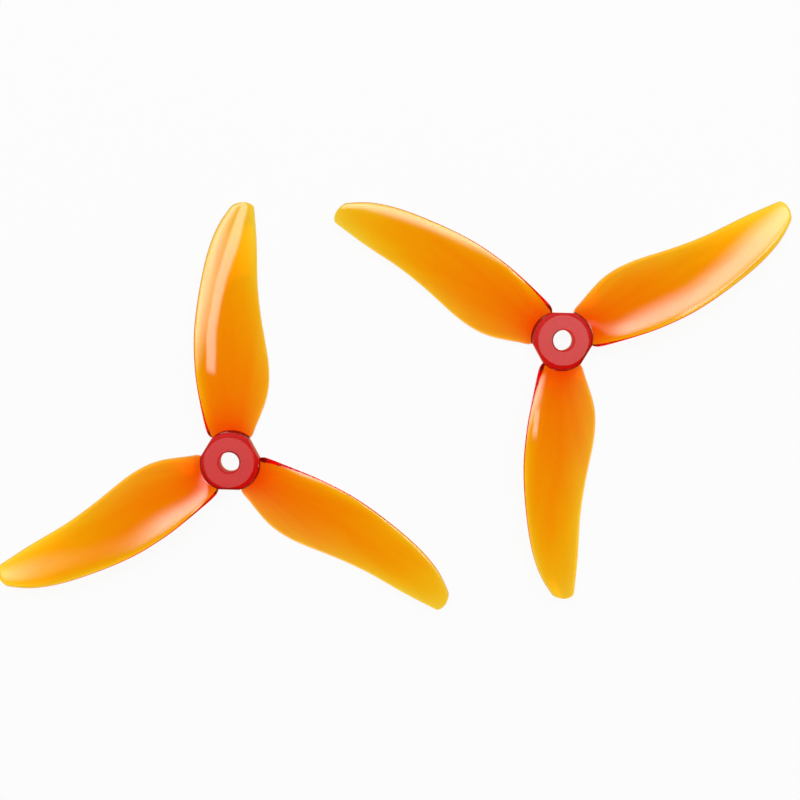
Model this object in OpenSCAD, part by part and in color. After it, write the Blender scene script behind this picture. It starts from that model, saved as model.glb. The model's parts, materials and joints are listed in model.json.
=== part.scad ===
// A matched pair of three-blade propellers for a 5 inch racing quadcopter, one for each way of turning.
// Each is a single moulding in life. Here its hub and its three blades are separate solids, which meet
// face to face on the round wall of the hub's collar. All sizes are in millimetres, with +Z up.
// The counterclockwise propeller's bore is on the Z axis and its motor face is at z = 0.

/* [Pair] */
// Distance along X from the counterclockwise propeller's bore to the clockwise one's
pair_dx = 81.5; // [80:0.5:140]
// Distance along Y from the counterclockwise propeller's bore to the clockwise one's
pair_dy = 29.8; // [28:0.2:34]
// Turn of each propeller about its own bore, in degrees
pair_turn = -1.5; // [-3:0.5:3]

/* [Hub] */
// Height of the hub, from the face on the motor to the face under the nut
hub_h = 7; // [6.8:0.1:9]
// Diameter of the through bore, a sliding fit on a 5 mm shaft
bore_d = 5.05; // [4:0.05:6]
// Diameter of the round boss that the nut presses on
boss_d = 12.3; // [11:0.1:13]
// Height of the collar that carries the blades
collar_h = 6; // [5.9:0.1:6.2]
// Diameter of the collar's round wall
collar_d = 14.4; // [14:0.1:15]
// Distance from the bore's axis to the flat between two blades
flat_r = 6.7; // [6.6:0.05:6.8]
// Chamfer on the hub's outer edges and on the bore's upper mouth
chamfer = 0.3; // [0.1:0.05:0.4]

/* [Blades] */
// Radius from the bore's axis to the blade tip, half of a 5 inch disc
tip_r = 63.5; // [58:0.5:76]
// Length of the rounded end of the blade
tip_round = 1.2; // [1:0.1:3]
// Radius of the fillet where a blade's two faces meet the hub
fillet = 0.4; // [0.2:0.1:0.5]
// Thickness of the blade, as a share of the thickness in the table below
thick_share = 1; // [0.85:0.05:1]
// Rise of the section's middle line, as a share of the chord
camber = 0.05; // [0:0.01:0.08]
// Where the middle line is highest, as a share of the chord from the leading edge
camber_at = 0.42; // [0.3:0.02:0.5]
// Where the section is thickest, as a share of the chord from the leading edge
thick_at = 0.3; // [0.2:0.02:0.4]

/* [Resolution] */
// Facets around the hub
hub_facets = 96; // [48:12:192]
// Steps along the chord on each side of a blade
chord_steps = 18; // [10:1:20]
// Steps along the blade from its fillet to its rounded end
span_steps = 21; // [14:1:26]
// Steps in the fillet
fillet_steps = 4; // [3:1:5]
// Steps in the rounded end
tip_steps = 6; // [4:1:8]

/* [Hidden] */

hub_colour = [0.80, 0.20, 0.20];
blade_colour = [0.98, 0.56, 0.05];

blade_angle = 120;      // between one blade and the next
first_blade = 90;       // direction of blade 1 before the pair's turn
root_r = collar_d / 2;  // where a blade leaves the collar's round wall
fillet_r = root_r + fillet;
close_r = tip_r - tip_round;
drawn_root_r = 7.2;     // the radii that the table below is drawn for
drawn_tip_r = 63.5;
root_bunching = 1.4;    // above 1, sections crowd towards the root, where the blade flares
tip_sweep = 82;         // degrees of the quarter ellipse that closes the end
tip_thin = 0.3;         // share of its thickness that the blade loses over that ellipse
nose_power = 3;         // roundness of the leading edge: 2 is an ellipse, more is blunter
tail_power = 2.5;       // how late the section thins towards its trailing edge

// The blade, drawn pointing along +Y with its leading edge towards -X. Each row is a section on a
// cylinder about the bore: its radius, how far the leading edge lies to one side of the blade's radial
// line, how far the trailing edge lies to the other, the height of each edge, the greatest thickness and
// the thickness of the trailing edge. The blade thickens towards the hub that it is moulded with.
blade_table = [
    [ 7.2, 4.4, 4.4, 3.9, 1.5, 3.30, 1.60],
    [ 8.2, 5.3, 5.2, 4.9, 1.4, 2.80, 1.40],
    [10.0, 5.9, 5.8, 6.1, 1.2, 2.30, 1.10],
    [14.0, 6.8, 7.3, 7.7, 0.9, 1.80, 0.90],
    [18.0, 7.6, 8.6, 8.6, 0.8, 1.60, 0.80],
    [22.0, 8.3, 9.1, 9.1, 0.8, 1.50, 0.80],
    [27.0, 8.8, 8.7, 9.2, 1.1, 1.40, 0.70],
    [32.0, 9.0, 7.6, 9.0, 1.6, 1.30, 0.65],
    [38.0, 8.6, 6.5, 8.4, 2.4, 1.20, 0.60],
    [44.0, 7.8, 5.8, 7.7, 3.0, 1.10, 0.50],
    [50.0, 6.7, 5.6, 7.0, 3.5, 1.00, 0.45],
    [55.0, 5.2, 5.4, 6.5, 3.9, 0.85, 0.40],
    [59.0, 3.4, 5.0, 6.2, 4.3, 0.75, 0.40],
    [63.5, 0.0, 4.6, 5.9, 4.9, 0.50, 0.35],
];
last = len(blade_table) - 1;

// Slope of every column at row i, from the rows on either side of it.
function slope(i) =
    let(a = blade_table[max(i - 1, 0)], b = blade_table[min(i + 1, last)])
    (b - a) / (b[0] - a[0]);

// The row that holds for a drawn radius, between rows i and i + 1, on a cubic through the table.
function between(i, r) =
    let(a = blade_table[i], b = blade_table[i + 1], w = b[0] - a[0], t = (r - a[0]) / w)
    a * (2 * pow(t, 3) - 3 * pow(t, 2) + 1)
    + b * (3 * pow(t, 2) - 2 * pow(t, 3))
    + slope(i) * w * (pow(t, 3) - 2 * pow(t, 2) + t)
    + slope(i + 1) * w * (pow(t, 3) - pow(t, 2));

function row_below(r, i = 0) = i >= last - 1 || blade_table[i + 1][0] > r ? i : row_below(r, i + 1);

function drawn(r) =
    drawn_root_r + (r - root_r) * (drawn_tip_r - drawn_root_r) / (tip_r - root_r);

// How full the section's round nose is at a share u of the chord: 0 at the leading edge, then 1.
function nose_fill(u) = u < thick_at ? sqrt(1 - pow(1 - u / thick_at, nose_power)) : 1;

// Half of the section's thickness at a share u of the chord, for a greatest thickness t and a
// trailing edge of thickness tail.
function half_thickness(u, t, tail) =
    u < thick_at
    ? t / 2 * nose_fill(u)
    : tail / 2 + (t - tail) / 2 * (1 - pow((u - thick_at) / (1 - thick_at), tail_power));

// Rise of the section's middle line at a share u of the chord, for a chord of 1.
function rise(u) =
    u < camber_at
    ? camber * u * (2 * camber_at - u) / pow(camber_at, 2)
    : camber * (1 - 2 * camber_at + u * (2 * camber_at - u)) / pow(1 - camber_at, 2);

// Shares of the chord from the trailing edge over the top to the leading edge and back underneath,
// each with the side that it is on. They crowd towards the leading edge, where the section is round.
ring_shares = [
    for (k = [-chord_steps:chord_steps]) [1 - cos(90 * k / chord_steps), -sign(k)],
];
ring = len(ring_shares);

// One section as a ring of points, laid on a cylinder of radius r. It is drawn narrower by keep and
// thinner by thin about the middle of its chord, and each of its faces stands out by flare.
function section(r, keep, thin, flare) =
    let(
        row = between(row_below(drawn(r)), drawn(r)),
        middle = (row[2] - row[1]) / 2,
        half = keep * (row[1] + row[2]) / 2,
        mid_z = (row[3] + row[4]) / 2,
        fall = keep * (row[3] - row[4]) / 2,
        chord = 2 * norm([half, fall]),
        along = [half, -fall] * 2 / chord,
        up = [-along[1], along[0]],
        nose = [middle - half, mid_z + fall],
        share = thin * thick_share
    )
    [
        for (s = ring_shares)
            let(
                half_t = half_thickness(s[0], row[5] * share, row[6] * share) + flare * nose_fill(s[0]),
                off = rise(s[0]) * chord + s[1] * half_t,
                p = nose + along * s[0] * chord + up * off
            )
            [p[0], sqrt(pow(r, 2) - pow(p[0], 2)), p[1]],
    ];

// Each section's radius, width, thickness and flare: down the fillet, along the blade, round the tip.
stations = concat(
    [
        for (j = [0:fillet_steps - 1])
            let(a = 90 * j / fillet_steps)
            [root_r + fillet * (1 - cos(a)), 1, 1, fillet * (1 - sin(a))],
    ],
    [
        for (j = [0:span_steps - 1])
            [fillet_r + (close_r - fillet_r) * pow(j / span_steps, root_bunching), 1, 1, 0],
    ],
    [
        for (j = [0:tip_steps])
            let(a = tip_sweep * j / tip_steps)
            [close_r + tip_round * sin(a), cos(a), 1 - tip_thin * (1 - cos(a)), 0],
    ]
);
top = len(stations) - 1;

// Triangles that close one end: the section's upper points joined to the lower ones under them. The
// tip's end faces outwards and the root's faces the hub, so they run opposite ways round.
function end_strip(base, is_tip) = [
    for (k = [0:chord_steps - 1])
        let(a = base + k, b = base + k + 1, c = base + ring - 2 - k, d = base + ring - 1 - k)
        each b == c ? [is_tip ? [a, b, d] : [a, d, b]]
             : is_tip ? [[a, b, c], [a, c, d]] : [[a, c, b], [a, d, c]],
];

module blade() {
    points = [for (s = stations) each section(s[0], s[1], s[2], s[3])];
    skin = [
        for (j = [0:top - 1], k = [0:ring - 1])
            let(a = j * ring + k, b = j * ring + (k + 1) % ring, c = b + ring, d = a + ring)
            each [[a, b, c], [a, c, d]],
    ];
    polyhedron(points, concat(skin, end_strip(0, false), end_strip(top * ring, true)));
}

// Half of the hub's section, from the bore outwards: motor face, collar, step, boss, nut face.
hub_profile = [
    [bore_d / 2, 0],
    [root_r - chamfer, 0],
    [root_r, chamfer],
    [root_r, collar_h - chamfer],
    [root_r - chamfer, collar_h],
    [boss_d / 2, collar_h],
    [boss_d / 2, hub_h - chamfer],
    [boss_d / 2 - chamfer, hub_h],
    [bore_d / 2 + chamfer, hub_h],
    [bore_d / 2, hub_h - chamfer],
];

module hub() {
    difference() {
        rotate_extrude($fn = hub_facets) polygon(hub_profile);
        for (i = [0:2])
            rotate(first_blade + blade_angle * (i + 0.5))
                translate([flat_r, -collar_d / 2, -1])
                    cube([collar_d, collar_d, hub_h + 2]);
    }
}

module bladed(i) {
    rotate(first_blade - 90 + blade_angle * i) blade();
}

// The counterclockwise propeller's place, and the clockwise one's, which is its mirror image.
module ccw_place() {
    rotate(pair_turn) children();
}

module cw_place() {
    translate([pair_dx, pair_dy, 0]) rotate(pair_turn) mirror([0, 1, 0]) children();
}

module ccw_hub() {
    color(hub_colour) ccw_place() hub();
}

module ccw_blade(i) {
    color(blade_colour) ccw_place() bladed(i);
}

module cw_hub() {
    color(hub_colour) cw_place() hub();
}

module cw_blade(i) {
    color(blade_colour) cw_place() bladed(i);
}

ccw_hub();
ccw_blade(0);  // ccw_blade_1
ccw_blade(1);  // ccw_blade_2
ccw_blade(2);  // ccw_blade_3
cw_hub();
cw_blade(0);  // cw_blade_1
cw_blade(1);  // cw_blade_2
cw_blade(2);  // cw_blade_3
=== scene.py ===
# %% [markdown]
# # A pair of three-blade racing propellers
# Each propeller on the real quadcopter is one injection moulding in clear polycarbonate, with an orange dye
# all through it. Nothing is painted. A thin tip looks yellow, a thick root orange and the solid hub deep red,
# only because light crosses more of the same dye. So the look rests on two things: meshes that have the true
# thickness, and a material that absorbs light inside them.
# Only the hubs also carry painted shade: their tint is a little darker than the dye alone makes them.

# %% [markdown]
# ## The fixed frame
# The imported CAD model comes first. It gives the parts' sizes and places in metres: the hubs' centres and the
# bores' radius come from the shaft bores in its record, and the rest is measured on its meshes.

# %% Load the frame
import json
import math

import bmesh
import bpy
from mathutils import Matrix, Vector


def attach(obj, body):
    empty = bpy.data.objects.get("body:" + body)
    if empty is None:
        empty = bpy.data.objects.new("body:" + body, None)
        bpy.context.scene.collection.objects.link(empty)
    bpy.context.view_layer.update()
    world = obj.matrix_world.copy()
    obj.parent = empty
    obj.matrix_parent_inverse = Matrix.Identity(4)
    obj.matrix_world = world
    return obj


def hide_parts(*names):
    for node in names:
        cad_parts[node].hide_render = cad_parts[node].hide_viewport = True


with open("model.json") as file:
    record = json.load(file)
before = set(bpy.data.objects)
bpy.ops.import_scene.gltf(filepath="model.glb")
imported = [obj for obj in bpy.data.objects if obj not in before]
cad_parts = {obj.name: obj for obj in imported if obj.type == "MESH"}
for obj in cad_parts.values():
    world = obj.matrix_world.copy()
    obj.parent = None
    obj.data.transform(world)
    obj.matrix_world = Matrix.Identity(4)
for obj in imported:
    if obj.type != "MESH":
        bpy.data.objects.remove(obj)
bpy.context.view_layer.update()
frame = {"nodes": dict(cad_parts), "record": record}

MM = 0.001
HANDS = ("ccw", "cw")
BLADES = (1, 2, 3)
scene = bpy.context.scene
mounts = {mount["name"]: mount for mount in frame["record"]["mounts"]}
hub_centre = {hand: Vector(mounts[hand + "_shaft_bore"]["pos_m"]) for hand in HANDS}
between_hubs = (hub_centre["ccw"] + hub_centre["cw"]) / 2
print("hub centres in mm:", {hand: [round(c / MM, 2) for c in hub_centre[hand]] for hand in HANDS})

# %% [markdown]
# ## The camera
# A product shot of flat parts is taken from almost straight above. A short lens would make the raised edges
# lean outwards, so this is a long one, 85 mm on a 36 mm frame, tipped 3 degrees. Its distance follows from
# how wide a strip of table the picture takes in.

# %% Set the camera
LENS = 85
SENSOR = 36
STRIP_WIDTH = 195.6 * MM
TIP = math.radians(3)
AIM = Vector((1.0, 0.3, 5.0)) * MM  # from the middle between the hubs to what the camera points at
NEAREST = 0.01

camera_data = bpy.data.cameras.new("camera")
camera_data.lens = LENS
camera_data.sensor_width = SENSOR
camera_data.clip_start = NEAREST
camera = bpy.data.objects.new("camera", camera_data)
camera_away = STRIP_WIDTH * LENS / SENSOR
camera.rotation_euler = (-TIP, 0, 0)
camera.location = between_hubs + AIM + Vector((0, math.sin(TIP), math.cos(TIP))) * camera_away
scene.collection.objects.link(camera)
scene.camera = camera
scene.view_settings.view_transform = "Standard"
print("the camera is", round(camera_away, 3), "m from the parts")

# %% [markdown]
# ## Colours and nodes
# Colours are written as hex values, as a paint chart gives them. Cycles works in linear light, so one
# function converts them. A second one adds a node, sets it and links it, and every material below is made
# with it. An input is named by its socket's name or, after an underscore, by its number.

# %% Helpers for colours and nodes


def linear(hex_colour):
    """The linear light of an sRGB hex colour, with an alpha of 1."""
    shares = [int(hex_colour[start : start + 2], 16) / 255 for start in (1, 3, 5)]
    return [s / 12.92 if s <= 0.04045 else ((s + 0.055) / 1.055) ** 2.4 for s in shares] + [1]


def add_node(tree, kind, settings=None, **inputs):
    """Adds a node. Each input is given as a value, or as the socket that feeds it."""
    node = tree.nodes.new(kind)
    for name, value in (settings or {}).items():
        setattr(node, name, value)
    for name, value in inputs.items():
        socket = node.inputs[int(name[1:])] if name[1:].isdigit() else node.inputs[name.replace("_", " ")]
        if isinstance(value, bpy.types.NodeSocket):
            tree.links.new(value, socket)
        else:
            socket.default_value = value
    return node


def new_material(name):
    """An empty node material, and its node tree."""
    material = bpy.data.materials.new(name)
    material.use_nodes = True
    material.node_tree.nodes.clear()
    return material, material.node_tree


print("a safety orange in linear light:", [round(c, 3) for c in linear("#FF8A00")])

# %% [markdown]
# ## Meshes
# Every shape is made as a bmesh, Blender's editable mesh, and then handed to an object. The object stays at
# the origin, unturned, with its place in its mesh, exactly as a CAD node does.

# %% A helper that turns a bmesh into an object


def finished(bm, name, material):
    """A smooth-shaded object with this mesh and material."""
    mesh = bpy.data.meshes.new(name)
    bm.to_mesh(mesh)
    bm.free()
    mesh.materials.append(material)
    for polygon in mesh.polygons:
        polygon.use_smooth = True
    made = bpy.data.objects.new(name, mesh)
    scene.collection.objects.link(made)
    return made


# %% [markdown]
# ## The light table
# A clear dyed part shows its colour only where light comes up through it, so it is shot on opal acrylic that
# is lit from below. The table is a spoke spun round the vertical. Most of its light is its own. A little is
# what falls on it, which leaves a faint soft shadow round the parts.
#
# From the side the table would end in darkness, so its rim goes on in a second piece, a spoke that curls
# upwards while it is spun. It is a backdrop only: glossy rays don't see it, because a bright rim all round
# would lay a milky veil on every sloping face.

# %% Make the light table and its backdrop
TABLE_RADIUS = 0.80
RIM_RADIUS = 0.45
RIM_TURN = math.radians(88)
TABLE_DROP = 0.05 * MM  # a hair under the hubs, so that two faces never share one plane
TABLE_GLOW = 0.93
TABLE_UNEVEN = 0.003
TABLE_MATT = 0.05
TABLE_LAMPS = 5  # patches of light a metre, from the lamps inside the table
ROUND_STEPS = 96
RIM_STEPS = 12
MERGE = 0.001 * MM

opal, tree = new_material("opal_acrylic")
# Opal acrylic: milky and matt, a touch uneven over the lamps inside the table.
point = add_node(tree, "ShaderNodeTexCoord").outputs["Object"]
lamps = add_node(tree, "ShaderNodeTexNoise", Vector=point, Scale=TABLE_LAMPS, Detail=1).outputs["Fac"]
dim, bright = TABLE_GLOW * (1 - TABLE_UNEVEN), TABLE_GLOW * (1 + TABLE_UNEVEN)
uneven = add_node(tree, "ShaderNodeMapRange", Value=lamps, To_Min=dim, To_Max=bright)
glow = add_node(tree, "ShaderNodeEmission", Strength=uneven.outputs["Result"])
matt = add_node(tree, "ShaderNodeBsdfDiffuse", Color=(TABLE_MATT, TABLE_MATT, TABLE_MATT, 1))
opal_skin = add_node(tree, "ShaderNodeAddShader", _0=glow.outputs[0], _1=matt.outputs[0])
add_node(tree, "ShaderNodeOutputMaterial", Surface=opal_skin.outputs[0])


def spin_round(bm):
    """Spins all that is in a bmesh once round the vertical, and closes the seam and the pole."""
    outline = bm.verts[:] + bm.edges[:]
    bmesh.ops.spin(
        bm, geom=outline, cent=(0, 0, 0), axis=(0, 0, 1), angle=2 * math.pi, steps=ROUND_STEPS,
        use_merge=True,
    )
    bmesh.ops.remove_doubles(bm, verts=bm.verts[:], dist=MERGE)
    bmesh.ops.recalc_face_normals(bm, faces=bm.faces[:])


def stage_piece(bm, name):
    """A piece of the stage, centred under the parts."""
    bmesh.ops.translate(bm, verts=bm.verts[:], vec=between_hubs - Vector((0, 0, TABLE_DROP)))
    piece = finished(bm, name, opal)
    return piece


bm = bmesh.new()
hub_of_table = bm.verts.new((0, 0, 0))
rim_of_table = bm.verts.new((TABLE_RADIUS, 0, 0))
bm.edges.new((hub_of_table, rim_of_table))
spin_round(bm)
stage_piece(bm, "light_table")

bm = bmesh.new()
foot = bm.verts.new((TABLE_RADIUS, 0, 0))
rim_centre = (TABLE_RADIUS, 0, RIM_RADIUS)
bmesh.ops.spin(bm, geom=[foot], cent=rim_centre, axis=(0, -1, 0), angle=RIM_TURN, steps=RIM_STEPS)
spin_round(bm)
backdrop = stage_piece(bm, "backdrop")
backdrop.visible_glossy = False
print("the backdrop is", round(max(v.co.z for v in backdrop.data.vertices), 2), "m high")

# %% [markdown]
# ## The room
# Gloss mirrors whatever is there, so the room counts as well as its lamps. The ceiling is almost black: seen
# from above, the parts mirror mostly the ceiling, and a pale one would lay a veil on their orange. The walls
# are greyer. Seen from the side, a clear edge mirrors them, and against black it would look like a crack. One
# grey for the whole world can't do both, so a map range on how far a direction points upwards lets the walls
# fade into the ceiling.

# %% Paint the room
CEILING_GREY = 0.015
WALLS_GREY = 0.30
CEILING_START = 0.60  # the sine of the elevation at which the walls have become as dark as the ceiling

world = bpy.data.worlds.new("studio_room")
world.use_nodes = True
room = world.node_tree
upwards = add_node(
    room, "ShaderNodeSeparateXYZ", Vector=add_node(room, "ShaderNodeTexCoord").outputs["Generated"]
).outputs["Z"]
grey = add_node(
    room, "ShaderNodeMapRange", {"interpolation_type": "SMOOTHSTEP"}, Value=upwards,
    From_Min=0, From_Max=CEILING_START, To_Min=WALLS_GREY, To_Max=CEILING_GREY,
)
background = room.nodes["Background"]
background.inputs["Color"].default_value = (1, 1, 1, 1)
room.links.new(grey.outputs["Result"], background.inputs["Strength"])
scene.world = world
print("the ceiling starts", round(math.degrees(math.asin(CEILING_START))), "degrees up")

# %% [markdown]
# ## The softboxes
# A large softbox hangs behind the parts and a small one to their right. So every blade carries a pale band
# near its leading edge, where it mirrors a lamp, and keeps its pure colour elsewhere. A real softbox is
# brightest in its middle and fades to its edges, which is what gives the band soft sides. A grid is stretched
# to the lamp's size, and its glow is a product of two smooth fades on Object coordinates. The lamp's face is
# also transparent, so that one lamp never blocks another.

# %% Hang the softboxes
LAMP_AWAY = 0.80


def softbox(name, azimuth, elevation, roll, size, fade, brightness):
    """A lamp facing the parts from a direction in degrees. Its size and the fade at its edges are in m."""
    material, tree = new_material(name + "_fabric")
    point = add_node(tree, "ShaderNodeTexCoord").outputs["Object"]
    axes = add_node(tree, "ShaderNodeSeparateXYZ", Vector=point)
    glow = brightness
    for axis, length in zip("XY", size):
        off_middle = add_node(tree, "ShaderNodeMath", {"operation": "ABSOLUTE"}, _0=axes.outputs[axis])
        share = add_node(
            tree, "ShaderNodeMapRange", {"interpolation_type": "SMOOTHSTEP"}, Value=off_middle.outputs[0],
            From_Min=length / 2 - fade, From_Max=length / 2, To_Min=1, To_Max=0,
        )
        glow = add_node(
            tree, "ShaderNodeMath", {"operation": "MULTIPLY"}, _0=glow, _1=share.outputs["Result"]
        ).outputs[0]
    lit = add_node(tree, "ShaderNodeEmission", Strength=glow)
    clear = add_node(tree, "ShaderNodeBsdfTransparent")
    face = add_node(tree, "ShaderNodeAddShader", _0=lit.outputs[0], _1=clear.outputs[0])
    add_node(tree, "ShaderNodeOutputMaterial", Surface=face.outputs[0])
    bm = bmesh.new()
    stretch = Matrix.Diagonal((*size, 1, 1))
    bmesh.ops.create_grid(bm, x_segments=1, y_segments=1, size=0.5, matrix=stretch)
    lamp = finished(bm, name, material)
    level = Vector((math.cos(math.radians(azimuth)), math.sin(math.radians(azimuth)), 0))
    up = math.radians(elevation)
    outwards = level * math.cos(up) + Vector((0, 0, math.sin(up)))
    across = Vector((0, 1, 0)).cross(outwards).normalized()
    turned = Matrix((across, outwards.cross(across), outwards)).transposed().to_4x4()
    lamp.matrix_world = (
        Matrix.Translation(between_hubs + outwards * LAMP_AWAY)
        @ turned
        @ Matrix.Rotation(math.radians(roll), 4, "Z")
    )
    lamp.visible_camera = False


softbox(
    "back_softbox", azimuth=92.7, elevation=68.9, roll=21, size=(1.12, 0.74), fade=0.32, brightness=6.0
)
softbox(
    "side_softbox", azimuth=6.9, elevation=66.9, roll=-6, size=(0.26, 0.26), fade=0.07, brightness=4.8
)

# %% [markdown]
# ## Dyed clear polycarbonate
# Polycarbonate is the tough clear plastic of safety glasses, with an IOR of 1.586. Two ways could colour it.
# A tinted surface gives the same orange whatever the thickness, which looks like painted glass. Absorption
# inside the volume follows Beer's law: each millimetre lets the same share of the light through, so blue is
# gone in a fraction of a millimetre, green fades over two or three, and red goes through the whole hub. That
# gives yellow tips, orange blades and a red hub from one dye, so absorption it is. Its density and colour are
# set on the node's own sockets.
#
# The surface is what the mould leaves. Melt runs from the hub outwards, so faint streaks of richer and
# weaker dye run along each blade: the noise is read in polar coordinates about the shaft, stretched along the
# radius. A slow ripple a few millimetres long bends the reflections a little, as the skin of a real moulding
# does where it shrinks, and fine handling marks break the gloss.
#
# Light that enters a thin edge is mirrored inside it many times before it gets out. Cycles gives up after a
# few such turns by default, which leaves black patches in clear edges, so it is allowed more of them.

# %% The plastic's material
IOR = 1.586
DYE_DENSITY = 6500  # per metre, for the colour that the dye stops most
DYE_COLOUR = "#FFEF00"
STREAKS_ROUND = 9  # streaks per radian about the shaft
STREAK_LENGTH = 25 * MM
STREAK_SPREAD = 0.15  # how far from its middle the noise gives the weakest or the richest tint
RIPPLE_LENGTH = 6 * MM
RIPPLE_HEIGHT = 0.006 * MM
MARK_SIZE = 0.5 * MM
BOUNCES = 24


def from_shaft(tree, hand):
    """Object coordinates about a propeller's shaft: their socket, and the distance from the axis."""
    point = add_node(tree, "ShaderNodeTexCoord").outputs["Object"]
    centred = add_node(tree, "ShaderNodeMapping", Vector=point, Location=-hub_centre[hand]).outputs[0]
    level = add_node(
        tree, "ShaderNodeVectorMath", {"operation": "MULTIPLY"}, _0=centred, _1=(1, 1, 0)
    ).outputs[0]
    radius = add_node(tree, "ShaderNodeVectorMath", {"operation": "LENGTH"}, _0=level).outputs["Value"]
    return centred, radius


def flow_streaks(tree, centred, radius):
    """Streaks of melt that run outwards from the shaft, as a value from 0 to 1."""
    axes = add_node(tree, "ShaderNodeSeparateXYZ", Vector=centred)
    angle = add_node(
        tree, "ShaderNodeMath", {"operation": "ARCTAN2"}, _0=axes.outputs["Y"], _1=axes.outputs["X"]
    )
    around = add_node(
        tree, "ShaderNodeMath", {"operation": "MULTIPLY"}, _0=angle.outputs[0], _1=STREAKS_ROUND
    )
    along = add_node(tree, "ShaderNodeMath", {"operation": "DIVIDE"}, _0=radius, _1=STREAK_LENGTH)
    polar = add_node(tree, "ShaderNodeCombineXYZ", X=around.outputs[0], Y=along.outputs[0])
    noise = add_node(tree, "ShaderNodeTexNoise", Vector=polar.outputs[0], Scale=1, Detail=3)
    return add_node(
        tree, "ShaderNodeMapRange", Value=noise.outputs["Fac"],
        From_Min=0.5 - STREAK_SPREAD, From_Max=0.5 + STREAK_SPREAD,
    ).outputs["Result"]


def dyed_polycarbonate(name, hand, weak, rich, finish):
    """The plastic of one propeller, its skin from weak to rich in tint. finish makes the roughness and the
    bump from the fine marks, the distance from the shaft and the ripple's bump."""
    material, tree = new_material(f"{name}_{hand}")
    centred, radius = from_shaft(tree, hand)
    streaks = flow_streaks(tree, centred, radius)
    tint = add_node(
        tree, "ShaderNodeMix", {"data_type": "RGBA"}, _0=streaks, _6=linear(weak), _7=linear(rich)
    ).outputs[2]
    marks = add_node(tree, "ShaderNodeTexNoise", Vector=centred, Scale=1 / MARK_SIZE, Detail=2, Distortion=2)
    waves = add_node(tree, "ShaderNodeTexNoise", Vector=centred, Scale=1 / RIPPLE_LENGTH, Detail=0)
    ripple = add_node(
        tree, "ShaderNodeBump", Strength=1, Distance=RIPPLE_HEIGHT, Height=waves.outputs["Fac"]
    ).outputs[0]
    roughness, relief = finish(tree, marks.outputs["Fac"], radius, ripple)
    skin = add_node(
        tree, "ShaderNodeBsdfPrincipled",
        Base_Color=tint, Roughness=roughness, IOR=IOR, Transmission_Weight=1, Normal=relief,
    )
    dye = add_node(tree, "ShaderNodeVolumeAbsorption", Color=linear(DYE_COLOUR), Density=DYE_DENSITY)
    add_node(tree, "ShaderNodeOutputMaterial", Surface=skin.outputs[0], Volume=dye.outputs[0])
    return material


scene.cycles.max_bounces = BOUNCES
scene.cycles.glossy_bounces = BOUNCES
scene.cycles.transmission_bounces = BOUNCES
stopped = [DYE_DENSITY * MM * (1 - share) for share in linear(DYE_COLOUR)[:3]]
print("light left after 1 mm, in red, green and blue:", [round(math.exp(-s), 3) for s in stopped])

# %% [markdown]
# ## The blades
# A blade is a long twisted aerofoil, thick near its rounded leading edge and thin at its trailing edge. It
# could be lofted again here, but the CAD solid already has the exact sections, so each piece starts as a
# copy of its node. The copy is loose triangles: doubles are merged, and the triangles joined back into the
# quads that the sections cross, because a subdivision surface stays smooth only over quads. The subdivision
# then rounds off the facets and the trailing edge, as the mould does. The root's outline is creased, so that
# it keeps the curve of the hub's wall, and it is drawn back by a hair, because two clear solids with faces
# in the same place would bend the light twice.

# %% Shape the blades
ROOT_GAP = 0.02 * MM
BLADE_ROUNDS = 2
BLADE_GLOSS = 0.02
BLADE_HAZE = 0.08


def blade_piece(hand, number, material):
    """A smooth blade in place of its CAD node."""
    node = frame["nodes"][f"{hand}_blade_{number}"]
    centre = hub_centre[hand]
    bm = bmesh.new()
    bm.from_mesh(node.data)
    bmesh.ops.remove_doubles(bm, verts=bm.verts[:], dist=MERGE)
    any_angle = 2 * math.pi
    bmesh.ops.join_triangles(
        bm, faces=bm.faces[:], angle_face_threshold=any_angle, angle_shape_threshold=any_angle
    )
    root_radius = min((v.co - centre).xy.length for v in bm.verts)
    root = {v for v in bm.verts if (v.co - centre).xy.length < root_radius + ROOT_GAP / 2}
    crease = bm.edges.layers.float.new("crease_edge")
    for edge in bm.edges:
        at_root = [all(v in root for v in face.verts) for face in edge.link_faces]
        if any(at_root) and not all(at_root):
            edge[crease] = 1
    for v in root:
        v.co += ((v.co - centre) * Vector((1, 1, 0))).normalized() * ROOT_GAP
    piece = finished(bm, f"{hand}_blade_{number}_moulding", material)
    rounding = piece.modifiers.new("rounding", "SUBSURF")
    rounding.levels = BLADE_ROUNDS
    rounding.render_levels = BLADE_ROUNDS
    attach(piece, hand + "_propeller")
    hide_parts(node.name)
    return piece


def polished(tree, marks, radius, ripple):
    """From a polished mould: mirror gloss, hazed a little by handling, with no relief but the ripple."""
    roughness = add_node(tree, "ShaderNodeMapRange", Value=marks, To_Min=BLADE_GLOSS, To_Max=BLADE_HAZE)
    return roughness.outputs["Result"], ripple


for hand in HANDS:
    gloss_plastic = dyed_polycarbonate(
        "polished_moulded_polycarbonate", hand, weak="#FFFFFF", rich="#FFF2DC", finish=polished
    )
    for number in BLADES:
        blade = blade_piece(hand, number, gloss_plastic)
        print(blade.name, "has", len(blade.data.polygons), "faces before it is rounded")

# %% [markdown]
# ## Measuring the hubs
# The hub's sizes are measured on its CAD node: the boss under the nut, the collar that carries the blades,
# and the three flats between them. A flat shows as a wide upright face, so its normal gives its direction.

# %% Measure the CAD hubs
HAIR = 0.01 * MM
TOP_BAND = 0.9 * MM  # less than the boss's step above the collar
WIDE_FACE = 5 * MM * MM
LEVEL_NORMAL = 0.01  # the largest upward part of an upright face's normal
SAME_WAY = 0.9  # the cosine above which two normals are of the same flat


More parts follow.
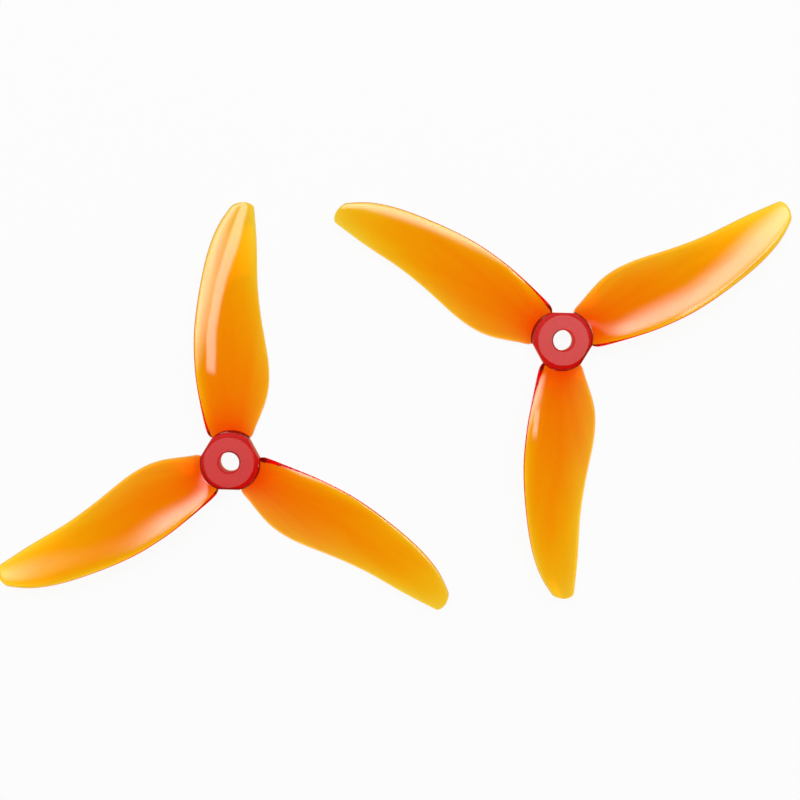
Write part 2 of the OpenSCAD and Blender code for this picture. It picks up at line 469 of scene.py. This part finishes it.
def hub_sizes(hand):
    """A CAD hub's height, boss and collar radii, collar height, flats' distance and flats' directions."""
    centre = hub_centre[hand]
    mesh = frame["nodes"][hand + "_hub"].data
    points = [v.co - centre for v in mesh.vertices]
    height = max(p.z for p in points)
    collar = max(p.xy.length for p in points)
    boss = max(p.xy.length for p in points if p.z > height - TOP_BAND)
    collar_height = max(p.z for p in points if p.xy.length > boss + HAIR)
    flats = []
    for face in mesh.polygons:
        wide = abs(face.normal.z) < LEVEL_NORMAL and face.area > WIDE_FACE
        if wide and all(face.normal.dot(known) < SAME_WAY for known in flats):
            flats.append(face.normal.copy())
    flat = max(p.dot(flats[0]) for p in points)
    return height, boss, collar, collar_height, flat, flats


bore_radius = mounts["ccw_shaft_bore"]["dims"]["r_mm"] * MM
print("height, boss, collar, collar height, flat in mm:", [round(s / MM, 2) for s in hub_sizes("ccw")[:5]])
print("flats on each hub:", {hand: len(hub_sizes(hand)[5]) for hand in HANDS})

# %% [markdown]
# ## The hubs
# A hub is turned work in its mould, so it is spun here too: half of its section, from the bore out over the
# collar and up the boss, goes once round the shaft. Cutting a cylinder with others would do it as well, but a
# spin gives even rings of quads that take a clean bevel. Three planes then cut the flats, and the cuts are
# closed. The Bevel modifier breaks every sharp edge, as no moulded edge is sharp.
#
# On the underside a real moulding shows three small round dents, where the mould's ejector pins pushed it
# out. They are cut with three thin cylinders by a Boolean, while the mesh is still simple.

# %% Spin and cut a hub
HUB_STEPS = 128
EDGE_RADIUS = 0.25 * MM
EDGE_STEPS = 3
SHARP_EDGE = math.radians(40)
PIN_RADIUS = 0.8 * MM
PIN_DENT = 0.1 * MM
PIN_SIDES = 24


def spun_hub(hand):
    """A hub's bmesh: spun, with its three flats cut and closed."""
    height, boss, collar, collar_height, flat, flats = hub_sizes(hand)
    section = [
        (bore_radius, 0), (collar, 0), (collar, collar_height), (boss, collar_height), (boss, height),
        (bore_radius, height),
    ]
    bm = bmesh.new()
    corners = [bm.verts.new((radius, 0, z)) for radius, z in section]
    for first, second in zip(corners, corners[1:] + corners[:1]):
        bm.edges.new((first, second))
    outline = bm.verts[:] + bm.edges[:]
    bmesh.ops.spin(
        bm, geom=outline, cent=(0, 0, 0), axis=(0, 0, 1), angle=2 * math.pi, steps=HUB_STEPS, use_merge=True
    )
    for direction in flats:
        geometry = bm.verts[:] + bm.edges[:] + bm.faces[:]
        cut = bmesh.ops.bisect_plane(
            bm, geom=geometry, dist=MERGE, plane_co=direction * flat, plane_no=direction, clear_outer=True
        )
        rim = [edge for edge in cut["geom_cut"] if isinstance(edge, bmesh.types.BMEdge)]
        bmesh.ops.edgeloop_fill(bm, edges=rim)
    bmesh.ops.recalc_face_normals(bm, faces=bm.faces[:])
    bmesh.ops.translate(bm, verts=bm.verts[:], vec=hub_centre[hand])
    return bm


def pin_cutters(hand):
    """Three short cylinders that reach into the hub's underside by the depth of a dent."""
    flat, flats = hub_sizes(hand)[4:]
    bm = bmesh.new()
    for direction in flats:
        middle = hub_centre[hand] + direction * (bore_radius + flat) / 2
        bmesh.ops.create_cone(
            bm, cap_ends=True, segments=PIN_SIDES, radius1=PIN_RADIUS, radius2=PIN_RADIUS,
            depth=2 * PIN_DENT, matrix=Matrix.Translation(middle),
        )
    return bm


def hub_piece(hand, material):
    """A finished hub in place of its CAD node."""
    piece = finished(spun_hub(hand), hand + "_hub_moulding", material)
    cutters = finished(pin_cutters(hand), "pin_cutters", material)
    dents = piece.modifiers.new("dents", "BOOLEAN")
    dents.operation = "DIFFERENCE"
    dents.object = cutters
    bpy.context.view_layer.update()
    cut_mesh = bpy.data.meshes.new_from_object(piece.evaluated_get(bpy.context.evaluated_depsgraph_get()))
    piece.modifiers.remove(dents)
    piece.data = cut_mesh
    bpy.data.objects.remove(cutters)
    edges = piece.modifiers.new("broken edges", "BEVEL")
    edges.width = EDGE_RADIUS
    edges.segments = EDGE_STEPS
    edges.limit_method = "ANGLE"
    edges.angle_limit = SHARP_EDGE
    edges.harden_normals = True
    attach(piece, hand + "_propeller")
    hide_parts(hand + "_hub")
    return piece


# %% [markdown]
# ## The hubs' satin face
# The blades' part of the mould is polished, but the insert that forms the boss's face is left as it was
# turned. So that face has a satin skin with very fine rings round the bore: it mirrors the softboxes as a
# pale haze, while the collar and the rounded edge of the bore are polished and stay a pure deep red. One
# roughness for the whole hub would lose those edges, so it changes with the distance from the shaft, within
# a tenth of a millimetre. The real rings are a few hundredths of a millimetre apart, too fine to show, so
# they are drawn ten times as coarse, as a sine of the distance.
#
# The hub's walls come from parts of the mould that sparks have cut, and are matt. It shows: seen almost edge
# on, a polished wall would mirror the table as a silver line. A wall differs from a level face in how little
# its normal points up or down.

# %% Finish the hubs
RING_PITCH = 0.4 * MM
RING_HEIGHT = 0.002 * MM
HUB_GLOSS = 0.06
SATIN_LOW = 0.30
SATIN_HIGH = 0.42
SATIN_EDGE = 0.1 * MM
WALL_MATT = 0.85
WALL_LIMIT = 0.6  # the upward or downward part of a normal from which a face is no wall at all


def turned(tree, marks, radius, ripple):
    """Satin with fine rings on the boss's face, polished beside it, and matt on the walls."""
    boss = hub_sizes("ccw")[1]
    lead_in = bore_radius + EDGE_RADIUS
    within_boss = add_node(
        tree, "ShaderNodeMapRange", Value=radius,
        From_Min=boss - SATIN_EDGE, From_Max=boss, To_Min=1, To_Max=0,
    ).outputs["Result"]
    clear_of_bore = add_node(
        tree, "ShaderNodeMapRange", Value=radius, From_Min=lead_in, From_Max=lead_in + SATIN_EDGE
    ).outputs["Result"]
    on_face = add_node(
        tree, "ShaderNodeMath", {"operation": "MULTIPLY"}, _0=within_boss, _1=clear_of_bore
    ).outputs[0]
    satin = add_node(tree, "ShaderNodeMapRange", Value=marks, To_Min=SATIN_LOW, To_Max=SATIN_HIGH)
    level = add_node(
        tree, "ShaderNodeMapRange", Value=on_face, To_Min=HUB_GLOSS, To_Max=satin.outputs["Result"]
    ).outputs["Result"]
    normal = add_node(tree, "ShaderNodeNewGeometry").outputs["Normal"]
    up = add_node(tree, "ShaderNodeSeparateXYZ", Vector=normal).outputs["Z"]
    up_or_down = add_node(tree, "ShaderNodeMath", {"operation": "ABSOLUTE"}, _0=up)
    roughness = add_node(
        tree, "ShaderNodeMapRange", Value=up_or_down.outputs[0],
        From_Max=WALL_LIMIT, To_Min=WALL_MATT, To_Max=level,
    )
    phase = add_node(
        tree, "ShaderNodeMath", {"operation": "MULTIPLY"}, _0=radius, _1=2 * math.pi / RING_PITCH
    )
    wave = add_node(tree, "ShaderNodeMath", {"operation": "SINE"}, _0=phase.outputs[0])
    height = add_node(tree, "ShaderNodeMath", {"operation": "MULTIPLY"}, _0=wave.outputs[0], _1=on_face)
    rings = add_node(
        tree, "ShaderNodeBump", Distance=RING_HEIGHT, Height=height.outputs[0], Normal=ripple
    )
    return roughness.outputs["Result"], rings.outputs[0]


for hand in HANDS:
    # The hub's tint is painted shade. It is darker all over than its dye alone makes it, and stands in for the
    # shade under the hub that the glowing table doesn't give. The melt's faint streaks lie on top of it.
    satin_plastic_painted_shade = dyed_polycarbonate(
        "satin_polycarbonate_painted_shade", hand, weak="#D8C6C6", rich="#D0BEBE", finish=turned
    )
    hub = hub_piece(hand, satin_plastic_painted_shade)
    print(hub.name, "has", len(hub.data.polygons), "faces before its edges are broken")
